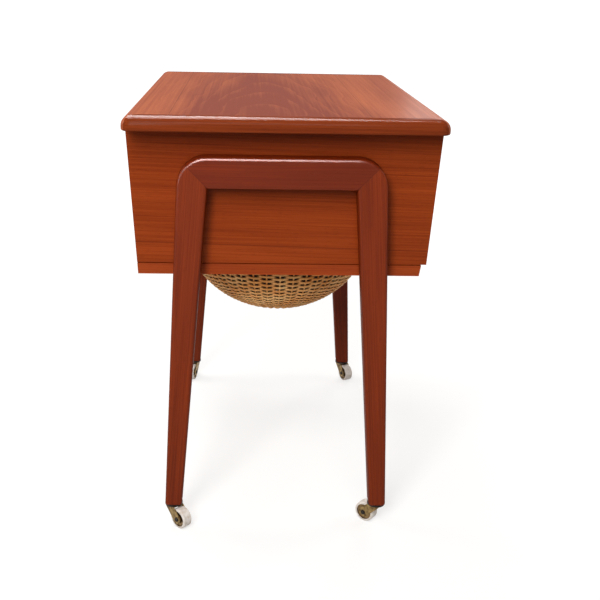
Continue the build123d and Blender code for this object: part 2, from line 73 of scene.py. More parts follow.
camera_data = bpy.data.cameras.new("end_view")
camera_data.sensor_width = sensor_mm
camera_data.lens = focal_pixels / picture_side * sensor_mm
camera_data.shift_x = 0.5 - view_centre[0] / picture_side
camera_data.shift_y = view_centre[1] / picture_side - 0.5
camera = bpy.data.objects.new("end_view", camera_data)
scene.collection.objects.link(camera)
level_reach = cos(camera_dip)
look = Vector((cos(camera_heading) * level_reach, -sin(camera_heading) * level_reach, -sin(camera_dip)))
camera.rotation_mode = "QUATERNION"
camera.rotation_quaternion = look.to_track_quat("-Z", "Y") @ Quaternion((0, 0, 1), camera_roll)
camera.location = camera_place
scene.camera = camera
scene.view_settings.view_transform = "Standard"
print("lens of", round(camera_data.lens, 1), "mm, dipped by", round(degrees(camera_dip)), "degrees")

# %% [markdown]
# Every material below is a small tree of nodes. Nodes could be wired by hand in the shader editor, but a script
# can be read and run again. Two helpers keep it short: one turns the sRGB hex value of a colour into the linear
# numbers that the shaders use, the other adds one node, sets it and links its inputs.

# %% Helpers for colours and nodes
def linear(hex_colour):
    """Linear colour of an sRGB hex value such as 8B3A1A."""
    channels = [int(hex_colour[i:i + 2], 16) / 255 for i in (0, 2, 4)]
    curve = [c / 12.92 if c <= 0.04045 else ((c + 0.055) / 1.055) ** 2.4 for c in channels]
    return (*curve, 1.0)


def add_node(tree, kind, inputs=(), **settings):
    """Add a node; inputs maps a socket's name or number to a value, or to the node or output that feeds it."""
    node = tree.nodes.new(kind)
    for setting, value in settings.items():
        setattr(node, setting, value)
    for socket, source in dict(inputs).items():
        if isinstance(source, bpy.types.Node):
            source = source.outputs[0]
        if isinstance(source, bpy.types.NodeSocket):
            tree.links.new(source, node.inputs[socket])
        else:
            node.inputs[socket].default_value = source
    return node


print("the mid grey 808080 is", round(linear("808080")[0], 3), "in linear light")

# %% [markdown]
# The floor is a wide plane in pale, matt paint. A shadow catcher over a white backdrop would need a second step
# to lay one picture on the other. Here the floor itself is lifted to white by a glow that only camera, mirror
# and glass rays see, so it adds no light to the table. The lift is weaker near the table, where it would drown
# the shadow.

# %% Floor
floor_size = 120.0
lift_near, lift_far = 0.64, 1.0
lift_start, lift_end = 0.7, 2.6
white = (1, 1, 1, 1)


def new_material(name):
    """A material with its node tree and its shader."""
    material = bpy.data.materials.new(name)
    material.use_nodes = True
    return material, material.node_tree, material.node_tree.nodes["Principled BSDF"]


def seen_directly(tree):
    """1 for rays that show a thing to the camera, straight, mirrored or through glass, and 0 for its light."""
    rays = add_node(tree, "ShaderNodeLightPath").outputs
    seen = add_node(
        tree, "ShaderNodeMath", {0: rays["Is Camera Ray"], 1: rays["Is Glossy Ray"]}, operation="MAXIMUM"
    )
    return add_node(tree, "ShaderNodeMath", {0: seen, 1: rays["Is Transmission Ray"]}, operation="MAXIMUM")


# Matt paint: no gloss, so the table isn't mirrored in it.
floor_paint, tree, shader = new_material("pale_painted_floor")
shader.inputs["Base Color"].default_value = linear("A8A6A3")
shader.inputs["Roughness"].default_value = 0.9
shader.inputs["Emission Color"].default_value = white
floor_place = add_node(tree, "ShaderNodeTexCoord").outputs["Object"]
reach = add_node(tree, "ShaderNodeVectorMath", {0: floor_place}, operation="LENGTH").outputs["Value"]
lift = add_node(
    tree, "ShaderNodeMapRange",
    {"Value": reach, "From Min": lift_start, "From Max": lift_end, "To Min": lift_near, "To Max": lift_far},
    interpolation_type="SMOOTHSTEP",
)
lift = add_node(tree, "ShaderNodeMath", {0: seen_directly(tree), 1: lift}, operation="MULTIPLY")
tree.links.new(lift.outputs[0], shader.inputs["Emission Strength"])

half = floor_size / 2
floor_corners = [(-half, -half, 0), (half, -half, 0), (half, half, 0), (-half, half, 0)]
floor_mesh = bpy.data.meshes.new("floor")
floor_mesh.from_pydata(floor_corners, [], [(0, 1, 2, 3)])
floor_mesh.materials.append(floor_paint)
floor = bpy.data.objects.new("floor", floor_mesh)
scene.collection.objects.link(floor)
print("floor of", floor_size, "m, lifted by", lift_near, "near the table and", lift_far, "far away")

# %% [markdown]
# The sky stands for the light that a white room throws back from all sides. A picture of a room would show in
# the gloss, so it is one plain colour: full white where the camera looks past the table, but weak as a light,
# so that the shade under the top and under the rails stays deep.

# %% Sky
sky_fill = 0.14
world = bpy.data.worlds.new("studio")
scene.world = world
world.use_nodes = True
tree = world.node_tree
backdrop = tree.nodes["Background"]
backdrop.inputs["Color"].default_value = white
seen = seen_directly(tree)
strength = add_node(tree, "ShaderNodeMapRange", {"Value": seen, "To Min": sky_fill, "To Max": 1.0})
tree.links.new(strength.outputs[0], backdrop.inputs["Strength"])
print("the sky lights the table with", sky_fill, "of white")

# %% [markdown]
# The lamps are soft rectangles, like the light boxes of a studio. Point lamps would cast hard shadows. Two in
# front light the end that faces the camera, one behind lights the top, two fill the long sides, and a window to
# the right gives the top its sheen.

# %% Lamps
lamps = {
    "front": {"place": (-2.1, 0.7, 1.5), "size": (0.7, 0.9), "watts": 35.0},
    "above_front": {"place": (-1.6, 0.2, 2.05), "size": (1.2, 0.6), "watts": 17.5},
    "behind": {"place": (0.6, 0.4, 2.2), "size": (0.9, 0.5), "watts": 20.0},
    "left_fill": {"place": (0.6, 2.4, 1.3), "size": (1.0, 1.0), "watts": 14.0},
    "right_fill": {"place": (0.6, -2.4, 1.3), "size": (1.0, 1.0), "watts": 14.0},
    "window": {"place": (2.0, -1.0, 1.3), "size": (1.0, 0.9), "watts": 12.0},
}
lamp_aim = Vector((0, 0, 0.4))


def hang_lamp(name, place, size, watts):
    """A soft rectangular lamp that points at the table and isn't seen itself."""
    data = bpy.data.lights.new(name, "AREA")
    data.shape = "RECTANGLE"
    data.size, data.size_y = size
    data.energy = watts
    lamp = bpy.data.objects.new(name, data)
    scene.collection.objects.link(lamp)
    lamp.location = place
    lamp.visible_camera = False
    lamp.rotation_mode = "QUATERNION"
    lamp.rotation_quaternion = (lamp_aim - lamp.location).to_track_quat("-Z", "Y")
    return lamp


for name, lamp in lamps.items():
    hang_lamp(name, **lamp)
print("lamps:", ", ".join(lamps))

# %% [markdown]
# A polished edge shows a thin bright line where it mirrors something white. A photographer holds up cards for
# that. Here the cards are large lamps that show in the gloss only. Left to shine on everything, they would burn
# a glare on the flat top, so each is linked to the pieces that it is meant for.

# %% Cards for the polished edges
sides = ("left", "right")
polished = {
    "frames": [f"{piece}_{side}" for piece in ("leg_frame_rail", "front_leg", "back_leg") for side in sides],
    "edges": [f"top_lipping_{side}" for side in sides],
}
cards = {
    "front_card": {"place": (-1.5, 0.35, 2.0), "size": (1.4, 2.6), "watts": 720.0},
    "side_card": {"place": (-1.2, 1.5, 0.9), "size": (0.4, 1.2), "watts": 40.0},
    "back_card": {"place": (0.8, 0.45, 2.1), "size": (1.6, 2.0), "watts": 700.0},
}
shown_on = {"front_card": "frames", "side_card": "frames", "back_card": "edges"}

linked = {}
for group, names in polished.items():
    linked[group] = bpy.data.collections.new(f"polished_{group}")
    for name in names:
        linked[group].objects.link(nodes[name])
for name, card in cards.items():
    light = hang_lamp(name, **card)
    light.visible_diffuse = False
    light.light_linking.receiver_collection = linked[shown_on[name]]
print("cards:", ", ".join(f"{name} on {group}" for name, group in shown_on.items()))

# %% [markdown]
# Teak is an open-grained, oily wood. A photograph of it could be wrapped round each piece, but it would repeat
# and stretch, so its figure is worked out by rule. Two things are the ground of every wood below: a place
# measured in millimetres along the grain, and noise that is drawn out along it.

# %% Grain
def along_grain(tree, object_place, turn):
    """Place in millimetres, turned so that its X runs along the grain."""
    scale = (1 / MM, 1 / MM, 1 / MM)
    return add_node(tree, "ShaderNodeMapping", {"Vector": object_place, "Rotation": turn, "Scale": scale})


def stretched(tree, grain, sizes, detail):
    """Noise that is drawn out along the grain: sizes are its length along the grain and its width across."""
    along, across = sizes
    scale = (1 / along, 1 / across, 1 / across)
    scaled = add_node(tree, "ShaderNodeVectorMath", {0: grain, 1: scale}, operation="MULTIPLY")
    return add_node(tree, "ShaderNodeTexNoise", {"Vector": scaled, "Scale": 1.0, "Detail": detail})


print("wood is measured in millimetres along the grain and across it")

# %% [markdown]
# Veneer is sliced from a log, so the growth rings show as nested arches where the slice runs near the heart,
# and as straight lines at its sides. A wave texture could draw bands, but not arches. A ring is a cone about
# the heart, so the figure comes from the distance to a heart line that lies a little tilted under the surface,
# and noise bends it.

# %% Growth rings
warp_mm = (170.0, 48.0)
late_wood_power = 3.0
early_wood_share = 0.2
early_wood_tone = 0.4
heart_spread = 90.0
figure_spread = 110.0
figure_left = 0.25


def growth_rings(tree, grain, heart, ring, warp, tilt):
    """Distance from the log's heart line, and the place between two rings from 0 to 1."""
    split = add_node(tree, "ShaderNodeSeparateXYZ", {0: grain}).outputs
    bend = stretched(tree, grain, warp_mm, detail=2.0)
    bend = add_node(tree, "ShaderNodeMapRange", {"Value": bend, "To Min": -warp, "To Max": warp})
    across = add_node(tree, "ShaderNodeMath", {0: split["Y"], 1: bend}, operation="ADD")
    across = add_node(tree, "ShaderNodeMath", {0: across, 1: heart[0]}, operation="SUBTRACT")
    below = add_node(tree, "ShaderNodeMath", {0: split["X"], 1: tilt, 2: heart[1]}, operation="MULTIPLY_ADD")
    ring_place = add_node(tree, "ShaderNodeCombineXYZ", {"X": across, "Y": below})
    radius = add_node(tree, "ShaderNodeVectorMath", {0: ring_place}, operation="LENGTH").outputs["Value"]
    turns = add_node(tree, "ShaderNodeMath", {0: radius, 1: ring}, operation="DIVIDE")
    return radius, add_node(tree, "ShaderNodeMath", {0: turns}, operation="FRACT")


def ring_figure(tree, grain, heart, ring, warp, tilt, figure, heart_tone):
    """Tone of the rings, strongest near the heart, which has a tone of its own."""
    radius, growth = growth_rings(tree, grain, heart, ring, warp, tilt)
    late_wood = add_node(tree, "ShaderNodeMath", {0: growth, 1: late_wood_power}, operation="POWER")
    early_wood = add_node(
        tree, "ShaderNodeMapRange",
        {"Value": growth, "From Max": early_wood_share, "To Min": early_wood_tone, "To Max": 0.0},
    )
    lines = add_node(tree, "ShaderNodeMath", {0: late_wood, 1: early_wood}, operation="SUBTRACT")
    from_heart = {"Value": radius, "From Min": heart[1]}
    near_heart = add_node(
        tree, "ShaderNodeMapRange",
        {**from_heart, "From Max": heart[1] + heart_spread, "To Min": heart_tone, "To Max": 0.0},
        interpolation_type="SMOOTHSTEP",
    )
    shown = add_node(
        tree, "ShaderNodeMapRange",
        {**from_heart, "From Max": heart[1] + figure_spread, "To Min": figure, "To Max": figure_left * figure},
    )
    return add_node(tree, "ShaderNodeMath", {0: lines, 1: shown, 2: near_heart}, operation="MULTIPLY_ADD")


print("rings are bent by waves of", warp_mm[0], "mm and fade", figure_spread, "mm from the heart")

# %% [markdown]
# Where two pieces of wood meet, glue and dust leave a dark hairline. It could be cut as a groove, but it is far
# thinner than any piece here, so the material draws it: one line between leaves of veneer, one along each
# mitre.

# %% Joints that show as hairlines
joint_tone = linear("32100A")
joint_strength = 0.5
mitre_width = 0.8 * MM


def leaf_line(tree, grain, start, width, breadth):
    """Hairlines along the grain where leaves of veneer meet, a leaf's width apart."""
    split = add_node(tree, "ShaderNodeSeparateXYZ", {0: grain}).outputs
    place = add_node(tree, "ShaderNodeMath", {0: split["Y"], 1: start}, operation="SUBTRACT")
    place = add_node(tree, "ShaderNodeMath", {0: place, 1: width / 2}, operation="PINGPONG")
    fade = {"Value": place, "From Max": breadth, "To Min": joint_strength, "To Max": 0.0}
    return add_node(tree, "ShaderNodeMapRange", fade)


def mitre_line(tree, object_place, middle, corner, normal):
    """Hairline on both mitres of a frame, from its middle, the corner of one mitre and that mitre's normal."""
    place = add_node(tree, "ShaderNodeVectorMath", {0: object_place, 1: middle}, operation="SUBTRACT")
    place = add_node(tree, "ShaderNodeVectorMath", {0: place}, operation="ABSOLUTE")
    place = add_node(tree, "ShaderNodeVectorMath", {0: place, 1: corner}, operation="SUBTRACT")
    away = add_node(tree, "ShaderNodeVectorMath", {0: place, 1: normal}, operation="DOT_PRODUCT")
    away = add_node(tree, "ShaderNodeMath", {0: away.outputs["Value"]}, operation="ABSOLUTE")
    fade = {"Value": away, "From Max": mitre_width, "To Min": joint_strength, "To Max": 0.0}
    return add_node(tree, "ShaderNodeMapRange", fade)


print("hairlines at a mitre are", round(mitre_width / MM, 1), "mm wide to each side")

# %% [markdown]
# Oiled teak is satin and warm. Under the rings lie fine streaks, a slow drift of tone and open pores, and the
# oil leaves a thin film that carries the gloss. The film is the shader's coat, so that its strength can be set
# without greying the wood. A straight cut shows few rings, which is how most pieces of this table were sawn.

# %% Oiled teak
drift_mm = (320.0, 46.0)
# Real pores are about 0.3 mm wide, too fine to show here, so they are drawn 1 mm wide.
pore_mm = (11.0, 1.0)
pore_from, pore_to = 0.58, 0.72
pore_tone = 0.25
pore_depth = 0.06 * MM
pore_bump = 0.5
smooth_streak, dull_streak = 0.38, 0.55
straight_cut = {
    "heart": (600.0, 60.0), "ring": 7.0, "warp": 4.0, "tilt": 0.0, "figure": 0.12, "heart_tone": 0.0,
}


def teak(
    name, tones, turn, cut=straight_cut, streak_mm=(150.0, 1.6), streak=1.2, drift=0.6, film=(0.1, 0.25),
    leaf=None, mitre=None,
):
    """Oiled teak: satin, warm and streaky, with open pores. Its film of oil has a strength and a roughness."""
    material, tree, shader = new_material(name)
    object_place = add_node(tree, "ShaderNodeTexCoord").outputs["Object"]
    grain = along_grain(tree, object_place, turn)
    streaks = stretched(tree, grain, streak_mm, detail=4.0)
    drifts = stretched(tree, grain, drift_mm, detail=2.0)
    # Noise lies about a half, so this keeps the mean tone half-way between pale and dark.
    even_tone = 0.5 - 0.5 * streak - 0.5 * drift
    tone = ring_figure(tree, grain, **cut)
    tone = add_node(tree, "ShaderNodeMath", {0: tone, 1: even_tone}, operation="ADD")
    tone = add_node(tree, "ShaderNodeMath", {0: streaks, 1: streak, 2: tone}, operation="MULTIPLY_ADD")
    tone = add_node(
        tree, "ShaderNodeMath", {0: drifts, 1: drift, 2: tone}, operation="MULTIPLY_ADD", use_clamp=True
    )
    pale, dark = map(linear, tones)
    wood = add_node(tree, "ShaderNodeMix", {0: tone, 6: pale, 7: dark}, data_type="RGBA")
    pores = stretched(tree, grain, pore_mm, detail=2.0)
    pores = add_node(tree, "ShaderNodeMapRange", {"Value": pores, "From Min": pore_from, "From Max": pore_to})
    marks = add_node(tree, "ShaderNodeMath", {0: pores, 1: pore_tone}, operation="MULTIPLY")
    joints = [leaf_line(tree, grain, *leaf)] if leaf else []
    joints += [mitre_line(tree, object_place, *mitre)] if mitre else []
    for joint in joints:
        marks = add_node(tree, "ShaderNodeMath", {0: marks, 1: joint}, operation="MAXIMUM")
    wood = add_node(tree, "ShaderNodeMix", {0: marks, 6: wood.outputs[2], 7: joint_tone}, data_type="RGBA")
    rough = add_node(
        tree, "ShaderNodeMapRange", {"Value": streaks, "To Min": smooth_streak, "To Max": dull_streak}
    )
    bump = add_node(
        tree, "ShaderNodeBump", {"Height": pores, "Strength": pore_bump, "Distance": pore_depth}, invert=True
    )
    tree.links.new(wood.outputs[2], shader.inputs["Base Color"])
    tree.links.new(rough.outputs[0], shader.inputs["Roughness"])
    tree.links.new(bump.outputs[0], shader.inputs["Normal"])
    shader.inputs["Specular IOR Level"].default_value = 0.0
    shader.inputs["Coat Weight"].default_value, shader.inputs["Coat Roughness"].default_value = film
    return material


print("teak has pores", pore_mm[0], "mm long and drifts of tone", drift_mm[0], "mm long")

# %% [markdown]
# The top is a board veneered with crown-cut leaves, laid so that the arches of the heartwood run along its
# middle. One wood for the whole top would be simpler, but the four lippings round the board are solid, each
# with its grain along its own length, so the short ones get a material of their own, redder and with a harder
# gloss. Their darker tone is painted shade, as their faces look away from the light on the top.

# %% Top
grain_x = (0, 0, 0)
grain_y = (0, 0, -pi / 2)
top_tones = ("B8633A", "803824")
top_streak_mm = (420.0, 4.0)
top_film = (0.15, 0.25)
crown_cut = {
    "heart": (25.0, 70.0), "ring": 17.0, "warp": 24.0, "tilt": 0.12, "figure": -0.24, "heart_tone": 0.6,
}
top_leaf = (150.0, 260.0, 0.9)


def finish_nodes(names, material):
    """Give pieces of the construction model a finish."""
    for name in names:
        slots = nodes[name].data.materials
        slots.clear()
        slots.append(material)
    print(material.name, "on", len(names), "pieces")


# Crown-cut veneer: pale arches over a darker heart.
top_veneer = teak(
    "teak_top_veneer", top_tones, grain_x, crown_cut, top_streak_mm, streak=0.8, drift=0.7, film=top_film,
    leaf=top_leaf,
)
finish_nodes(["top_panel"], top_veneer)
# Solid teak along the grain: streaks without arches.
long_lipping = teak("teak_long_lipping", top_tones, grain_x, streak_mm=top_streak_mm, film=top_film)
finish_nodes(["top_lipping_front", "top_lipping_back"], long_lipping)
# The same wood, painted darker as shade for a face that looks away from the light; a narrow bright line runs
# along its rounded edge.
short_lipping = teak("teak_short_lipping", ("8E3D1A", "5C220D"), grain_y, film=(0.06, 0.14))
finish_nodes(["top_lipping_left", "top_lipping_right"], short_lipping)

# %% [markdown]
# The case is veneered with straight-cut leaves, laid with the grain level all the way round. The leaves of the
# ends lie a little out of level, and a hairline shows where two of them meet, so the ends have their own turn
# of the grain. The strips below and the rail between the drawers are solid teak, a little paler.

# %% Case
leaf_slope = radians(-1.4)
grain_end = (-pi / 2, -pi / 2, leaf_slope)
case_tones = ("9E4319", "6E2608")
strip_tones = ("A84A20", "7A2C10")
panel_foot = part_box("end_panel_left")[0].z / MM
leaf_rise = 24.0
end_leaf = (panel_foot + leaf_rise, 300.0, 0.8)

# Straight-cut veneer: level streaks, orange-brown.
end_veneer = teak("teak_end_veneer", case_tones, grain_end, leaf=end_leaf)
finish_nodes(["end_panel_left", "end_panel_right"], end_veneer)
front_veneer = teak("teak_front_veneer", case_tones, grain_x)
finish_nodes(["back_panel", "upper_drawer_front", "lower_drawer_front"], front_veneer)
# Solid strips: the same streaks, paler.
end_strip = teak("teak_end_strip", strip_tones, grain_y)
finish_nodes(["basket_runner_left", "basket_runner_right"], end_strip)
front_strip = teak("teak_front_strip", strip_tones, grain_x)
finish_nodes(["basket_front_rail", "mid_rail"], front_strip)

# %% [markdown]
# The leg frames are solid teak, redder than the veneer and polished by hands. The grain runs along each piece,
# so the legs need their grain turned by the slope at which they stand. That slope and the line of the mitres
# could be typed in, but then they would go wrong if the legs changed, so both are measured on the pieces.

# %% Slopes of the legs and mitres
foot_share = 1 / 20
upper_middle_share = 0.75
near_foot = 6 * MM
near_corner = 1 * MM


def leg_lean(name):
    """Angle by which a leg leans along Y, from the middle of its foot to the middle of its upper half."""
    low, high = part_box(name)
    height = high.z - low.z
    points = [v.co for v in nodes[name].data.vertices]
    foot = [p.y for p in points if p.z < low.z + height * foot_share]
    upper = [p.y for p in points if p.z > low.z + height / 2]
    shift = (min(upper) + max(upper)) / 2 - (min(foot) + max(foot)) / 2
    return atan2(shift, height * upper_middle_share)


rail_low, rail_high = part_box("leg_frame_rail_left")
rail_points = [v.co for v in nodes["leg_frame_rail_left"].data.vertices]
frame_middle = (rail_low.y + rail_high.y) / 2
inner_y = max(p.y for p in rail_points if p.z < rail_low.z + near_foot)
inner_z = min(p.z for p in rail_points if p.y > inner_y - near_corner)
outer_corner = max(rail_points, key=lambda p: p.y)
mitre_run = Vector((0, outer_corner.y - inner_y, outer_corner.z - inner_z)).normalized()
mitre = ((0, frame_middle, 0), (0, inner_y - frame_middle, inner_z), (0, mitre_run.z, -mitre_run.y))
leans = {leg: leg_lean(f"{leg}_left") for leg in ("front_leg", "back_leg")}
print("mitre rises at", round(degrees(atan2(mitre_run.z, mitre_run.y)), 1), "degrees")
print("legs lean by", {leg: round(degrees(lean), 1) for leg, lean in leans.items()}, "degrees")

# %% [markdown]
# With the slopes known, the frames can be finished. One material could serve rail and legs if the grain ran the
# same way in both. It turns at each mitre, so the rail has one and each pair of legs another, a shade lighter.

# %% Leg frames
# Solid teak, polished by hands: red-brown, with the strongest film of oil on the table.
rail_teak = teak("teak_frame_rail", ("802C0A", "501402"), grain_y, film=(0.22, 0.24), mitre=mitre)
finish_nodes(["leg_frame_rail_left", "leg_frame_rail_right"], rail_teak)
for leg, lean in leans.items():
    leg_teak = teak(f"teak_{leg}", ("8C340F", "561904"), (lean, pi / 2, 0), film=(0.2, 0.24), mitre=mitre)
    finish_nodes([f"{leg}_left", f"{leg}_right"], leg_teak)

# %% [markdown]
# What the drawers hide is plain: waxed beech for the sides, runners and pegs, and birch plywood for the
# bottoms. Beech is pale pink-brown with short flecks. Birch plywood is paler still, with a faint wavy figure.
# They could be plain colours, as they are rarely seen, but an open drawer shows them close up.

# %% Beech and plywood
grain_z = (0, pi / 2, 0)
pale_streak_mm = (90.0, 4.0)
streak_from, streak_to = 0.3, 0.7
fleck_from, fleck_to = 0.6, 0.7
fleck_brown = linear("7A5230")
streak_bump = 0.3


def pale_wood(name, tones, turn, fleck_mm, fleck_tone, rough):
    """Waxed pale wood: dull sheen, faint streaks and short flecks along the grain."""
    material, tree, shader = new_material(name)
    object_place = add_node(tree, "ShaderNodeTexCoord").outputs["Object"]
    grain = along_grain(tree, object_place, turn)
    streaks = stretched(tree, grain, pale_streak_mm, detail=4.0)
    tone = add_node(
        tree, "ShaderNodeMapRange", {"Value": streaks, "From Min": streak_from, "From Max": streak_to}
    )
    flecks = stretched(tree, grain, fleck_mm, detail=1.0)
    flecks = add_node(
        tree, "ShaderNodeMapRange",
        {"Value": flecks, "From Min": fleck_from, "From Max": fleck_to, "To Max": fleck_tone},
    )
    pale, dark = map(linear, tones)
    wood = add_node(tree, "ShaderNodeMix", {0: tone, 6: pale, 7: dark}, data_type="RGBA")
    wood = add_node(tree, "ShaderNodeMix", {0: flecks, 6: wood.outputs[2], 7: fleck_brown}, data_type="RGBA")
    bump = add_node(
        tree, "ShaderNodeBump", {"Height": streaks, "Strength": streak_bump, "Distance": pore_depth}
    )
    tree.links.new(wood.outputs[2], shader.inputs["Base Color"])
    tree.links.new(bump.outputs[0], shader.inputs["Normal"])
    shader.inputs["Roughness"].default_value = rough
    return material


beech = {
    way: pale_wood(f"beech_{way}_grain", ("D2A878", "BE8F5E"), turn, (3.0, 0.8), fleck_tone=0.5, rough=0.5)
    for way, turn in {"long": grain_x, "deep": grain_y, "upright": grain_z}.items()
}
plywood = pale_wood("birch_plywood", ("D9BC8C", "C9A671"), grain_x, (14.0, 2.0), fleck_tone=0.2, rough=0.6)
drawers = ("upper", "lower")
finish_nodes(
    [f"{drawer}_drawer_back" for drawer in drawers]
    + ["top_rail_front", "top_rail_back", "bottom_rail", "drawer_long_divider", "thread_rack"],
    beech["long"],
)
finish_nodes(
    [f"{drawer}_drawer_{piece}_{side}" for drawer in drawers for piece in ("side", "runner") for side in sides]
    + [f"basket_slide_{side}" for side in sides] + ["drawer_cross_dividers"],
    beech["deep"],
)
finish_nodes(["thread_pegs", "corner_dowels"], beech["upright"])
finish_nodes([f"{drawer}_drawer_bottom" for drawer in drawers] + ["basket_board"], plywood)

# %% [markdown]
# The castors have forks stamped from brass, which has dulled with age, and sockets and axles of dark steel. A
# metal's colour is the colour of its reflection, so a plain gold colour would look painted. Clouds of noise in
# colour and roughness give the look of worn metal.

# %% Castor metals
cloud_from, cloud_to = 0.35, 0.65


def worn_metal(name, tones, cloud_mm, smooth, rough):
    """Metal that has dulled unevenly: clouds of tarnish change its colour and its gloss."""
    material, tree, shader = new_material(name)
    object_place = add_node(tree, "ShaderNodeTexCoord").outputs["Object"]
    cloud_scale = 1 / (cloud_mm * MM)
    clouds = add_node(tree, "ShaderNodeTexNoise", {"Vector": object_place, "Scale": cloud_scale, "Detail": 4.0})
    clouds = add_node(
        tree, "ShaderNodeMapRange", {"Value": clouds, "From Min": cloud_from, "From Max": cloud_to}
    )
    bright, dull = map(linear, tones)
    metal = add_node(tree, "ShaderNodeMix", {0: clouds, 6: bright, 7: dull}, data_type="RGBA")
    gloss = add_node(tree, "ShaderNodeMapRange", {"Value": clouds, "To Min": smooth, "To Max": rough})
    tree.links.new(metal.outputs[2], shader.inputs["Base Color"])
    tree.links.new(gloss.outputs[0], shader.inputs["Roughness"])
    shader.inputs["Metallic"].default_value = 1.0
    return material


# Stamped brass: brown-gold and cloudy. Turned brass: cleaner. Blackened steel: nearly black, with a dull shine.
brass = worn_metal("stamped_brass", ("A08658", "5E4A30"), 5.0, smooth=0.3, rough=0.5)
brass_screws = worn_metal("turned_brass", ("C2A068", "8A6A3C"), 3.0, smooth=0.25, rough=0.4)
dark_steel = worn_metal("blackened_steel", ("3A3430", "1C1816"), 4.0, smooth=0.35, rough=0.6)
corners = [f"{side}_{row}" for side in sides for row in ("front", "back")]
finish_nodes([f"castor_fork_{corner}" for corner in corners], brass)
finish_nodes(["wood_screws", "runner_screws"], brass_screws)
finish_nodes(["castor_sockets"] + [f"castor_axle_{corner}" for corner in corners], dark_steel)

# %% [markdown]
# Each wheel is an ivory-coloured plastic tyre, moulded round a pressed metal disc. The disc could be a piece of
# its own, but in the construction model the wheel is one solid, so the material tells the two apart by the
# distance from the wheel's axle. Every wheel stands at its own angle and needs its own middle and axle, hence
# four materials.

# %% Castor wheels
disc_radius = 12 * MM
scuff_size = 6 * MM
scuff_from, scuff_to = 0.4, 0.75
ivory, worn_ivory = linear("E6DED6"), linear("CBBBAA")
pressed_metal, tarnish = linear("8C7350"), linear("463222")
spins = {joint["name"]: joint for joint in frame["record"]["behaviour"]["joints"]}


def wheel_finish(corner):
    """Moulded ivory plastic, satin and scuffed, with tarnished metal round the wheel's axle."""
    material, tree, shader = new_material(f"ivory_wheel_{corner}")
    low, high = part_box(f"castor_wheel_{corner}")
    axle = spins[f"wheel_spin_{corner}"]["axis"]
    object_place = add_node(tree, "ShaderNodeTexCoord").outputs["Object"]
    scuffs = add_node(
        tree, "ShaderNodeTexNoise", {"Vector": object_place, "Scale": 1 / scuff_size, "Detail": 5.0}
    )
    scuffs = add_node(
        tree, "ShaderNodeMapRange", {"Value": scuffs, "From Min": scuff_from, "From Max": scuff_to}
    )
    plastic = add_node(tree, "ShaderNodeMix", {0: scuffs, 6: ivory, 7: worn_ivory}, data_type="RGBA")
    metal = add_node(tree, "ShaderNodeMix", {0: scuffs, 6: pressed_metal, 7: tarnish}, data_type="RGBA")
    spoke = add_node(tree, "ShaderNodeVectorMath", {0: object_place, 1: (low + high) / 2}, operation="SUBTRACT")
    spoke = add_node(tree, "ShaderNodeVectorMath", {0: spoke, 1: axle}, operation="CROSS_PRODUCT")
    spoke = add_node(tree, "ShaderNodeVectorMath", {0: spoke}, operation="LENGTH").outputs["Value"]
    disc = add_node(tree, "ShaderNodeMath", {0: spoke, 1: disc_radius}, operation="LESS_THAN")
    surface = add_node(
        tree, "ShaderNodeMix", {0: disc, 6: plastic.outputs[2], 7: metal.outputs[2]}, data_type="RGBA"
    )
    tree.links.new(surface.outputs[2], shader.inputs["Base Color"])
    tree.links.new(disc.outputs[0], shader.inputs["Metallic"])
    shader.inputs["Roughness"].default_value = 0.38
    return material


for corner in corners:
    finish_nodes([f"castor_wheel_{corner}"], wheel_finish(corner))

# %% [markdown]
# The basket is woven: stakes of round cane run from the rim to the base like the lines of longitude on a globe,
# and weavers go round them, in front of one stake and behind the next. Each row is half a step out from the one
# below. A bump on a plain bowl would look flat at the edge, so the cane is real geometry. Its sizes come from
# the bowl of the construction model, whose place it takes.

# %% Sizes of the bowl
bowl_low, bowl_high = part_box("cane_basket")
board_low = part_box("basket_board")[0]
bowl_wall = 5 * MM
rim_reach = 8 * MM
rim_stretch = (bowl_high.x - bowl_low.x) / (bowl_high.y - bowl_low.y)
bowl_half_depth = (bowl_high.y - bowl_low.y) / 2 - rim_reach - bowl_wall / 2
bowl_half_length = (bowl_high.x - bowl_low.x) / 2 - (rim_reach + bowl_wall / 2) * rim_stretch
bowl_rim = board_low.z
bowl_drop = bowl_rim - bowl_low.z - bowl_wall / 2
half_axes = (bowl_half_length, bowl_half_depth, bowl_drop)
print("bowl", [round(v / MM) for v in half_axes], "mm half axes")

# %% [markdown]
# A rule gives the whole weave, so Geometry Nodes make it. Strands could be curves with a round section, but
# then every curve would have to be found first. Here flat grids, one to a strand, are made and realised, and a
# formula then moves every point of them to its place on the bowl. These helpers open a tree with named inputs,
# make the grids and close the tree.

# %% Helpers for trees of strands
seam_gap = 0.01 * MM
strand_inputs = {
    "Steps": "Int", "Sides": "Int", "Half Axes": "Vector", "Rim Height": "Float", "Evening": "Float",
    "Start Angle": "Float", "Cane Thickness": "Float", "Cane Width": "Float", "Material": "Material",
}


def tree_with_inputs(name, sockets):
    """A geometry tree with named inputs and one geometry output; returns it, its inputs and its output node."""
    tree = bpy.data.node_groups.new(name, "GeometryNodeTree")
    for socket_name, socket_type in sockets.items():
        tree.interface.new_socket(socket_name, in_out="INPUT", socket_type=f"NodeSocket{socket_type}")
    tree.interface.new_socket("Geometry", in_out="OUTPUT", socket_type="NodeSocketGeometry")
    return tree, tree.nodes.new("NodeGroupInput").outputs, tree.nodes.new("NodeGroupOutput")


